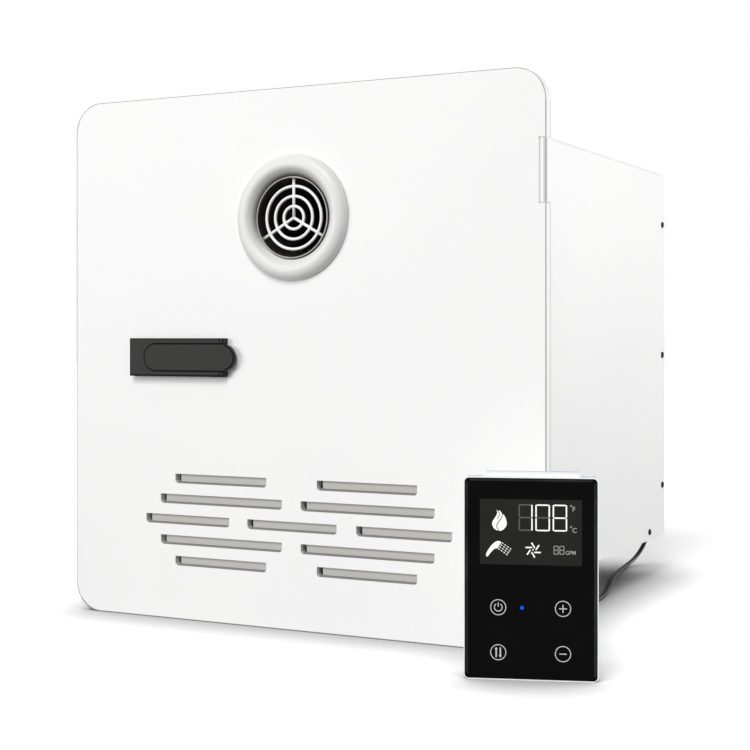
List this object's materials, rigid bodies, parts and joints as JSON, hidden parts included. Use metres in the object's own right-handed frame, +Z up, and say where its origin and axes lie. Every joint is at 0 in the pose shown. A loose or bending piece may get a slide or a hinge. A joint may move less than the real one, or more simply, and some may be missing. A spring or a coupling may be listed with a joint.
{
  "type": "wall-mounted gas water heater with wired controller",
  "caption": "Built-in gas water heater: sheet casing behind a hinged front door with round exhaust, air slots and paddle latch, joined by a cable to a glass touch controller.",
  "frame": {"origin": "centre of the wall face of the front flange, midway between its four screw holes", "axes": "+X right as seen from the front, +Y into the wall, away from the viewer, +Z up"},
  "size_m": [0.4358, 0.5081, 0.385],
  "materials": {
    "white_paint": "smooth white powder coat",
    "grey_paint": "matt grey paint",
    "galvanised_sheet": "galvanised sheet",
    "dark_screws": "blackened steel",
    "bright_steel": "plain bright steel",
    "stainless": "satin stainless sheet",
    "black_foam": "soft black foam",
    "dark_latch": "dark grey, satin",
    "black_plastic": "moulded black",
    "white_plastic": "moulded white, satin",
    "copper": "bare copper",
    "brass_fittings": "machined brass",
    "cast_aluminium": "die cast",
    "ceramic": "white ceramic",
    "circuit_board": "green solder mask",
    "controller_rim": "glossy white",
    "controller_glass": "black glass, printed from behind",
    "display_screen": "dark segment display",
    "cord_rubber": "black flexible sheath"
  },
  "bodies": {
    "root": {"back_panel": "galvanised_sheet", "blower_housing": "galvanised_sheet", "blower_motor": "bright_steel", "bottom_panel": "galvanised_sheet", "burner_box": "galvanised_sheet", "burner_rails": "stainless", "cable_gland": "black_plastic", "casing_screws": "dark_screws", "casing_shell": "white_paint", "cold_pipe": "copper", "combustion_chamber": "stainless", "control_board": "circuit_board", "control_box": "black_plastic", "control_cover": "black_plastic", "controller_back": "white_plastic", "controller_board": "circuit_board", "controller_display": "display_screen", "controller_frame": "controller_rim", "controller_glass": "controller_glass", "cord_bush": "cord_rubber", "cord_coil": "cord_rubber", "cord_front_run": "cord_rubber", "cord_rear_run": "cord_rubber", "door_seal": "black_foam", "electrodes": "ceramic", "exchanger_fins": "copper", "exhaust_guard": "stainless", "flow_sensor": "black_plastic", "flue_hood": "stainless", "flue_tube": "stainless", "front_frame": "white_paint", "gas_manifold": "cast_aluminium", "gas_pipe": "brass_fittings", "gas_solenoids": "black_plastic", "gas_valve": "cast_aluminium", "heat_exchanger": "copper", "hinge_tabs": "white_paint", "hot_pipe": "copper", "overheat_cutout": "black_plastic", "pipe_fittings": "brass_fittings", "power_switch": "black_plastic", "relief_valve": "brass_fittings", "spark_igniter": "black_plastic", "striker_plate": "bright_steel", "water_tube": "copper"},
    "door": {"door_panel": "white_paint", "hinge_pins": "bright_steel", "door_hinge_lugs": "bright_steel", "exhaust_bezel": "white_paint", "vent_baffle": "grey_paint", "latch_base": "dark_latch", "latch_pin": "bright_steel", "latch_cover": "black_plastic", "latch_spring": "bright_steel"},
    "latch_paddle": {"latch_paddle": "dark_latch"},
    "latch_bolt": {"latch_bolt": "bright_steel"},
    "blower_wheel": {"blower_wheel": "black_plastic"},
    "flow_turbine": {"flow_turbine": "white_plastic"},
    "power_rocker": {"power_rocker": "black_plastic"},
    "relief_lever": {"relief_lever": "bright_steel"}
  },
  "joints": [
    {"name": "door_hinge", "type": "hinge", "parent": "root", "child": "door", "pos_m": [0.1879, -0.0083, 0], "axis": [0, 0, 1], "range_deg": [0, 65]},
    {"name": "latch_paddle_pivot", "type": "hinge", "parent": "door", "child": "latch_paddle", "pos_m": [-0.119, -0.0134, 0.0005], "axis": [0, 0, -1], "range_deg": [0, 30]},
    {"name": "latch_bolt_slide", "type": "slide", "parent": "door", "child": "latch_bolt", "axis": [1, 0, 0], "range_m": [0, 0.00849], "stiffness_N_per_m": 40, "deforming": ["latch_spring"]},
    {"name": "blower_wheel_spin", "type": "hinge", "parent": "root", "child": "blower_wheel", "pos_m": [-0.117, 0.19, -0.104], "axis": [0, 1, 0], "continuous": true},
    {"name": "flow_turbine_spin", "type": "hinge", "parent": "root", "child": "flow_turbine", "pos_m": [0.06, 0.31, -0.136], "axis": [0, 1, 0], "continuous": true},
    {"name": "power_rocker_tilt", "type": "hinge", "parent": "root", "child": "power_rocker", "pos_m": [-0.12925, 0.0448, 0.096], "axis": [-1, 0, 0], "range_deg": [0, 16]},
    {"name": "relief_lever_lift", "type": "hinge", "parent": "root", "child": "relief_lever", "pos_m": [0.134, 0.21, 0.072], "axis": [-1, 0, 0], "range_deg": [0, 60], "stiffness_Nm_per_rad": 0.05}
  ],
  "couplings": [
    {"joint": "latch_paddle_pivot", "follows": "latch_bolt_slide", "rad_per_m": 61.6}
  ]
}
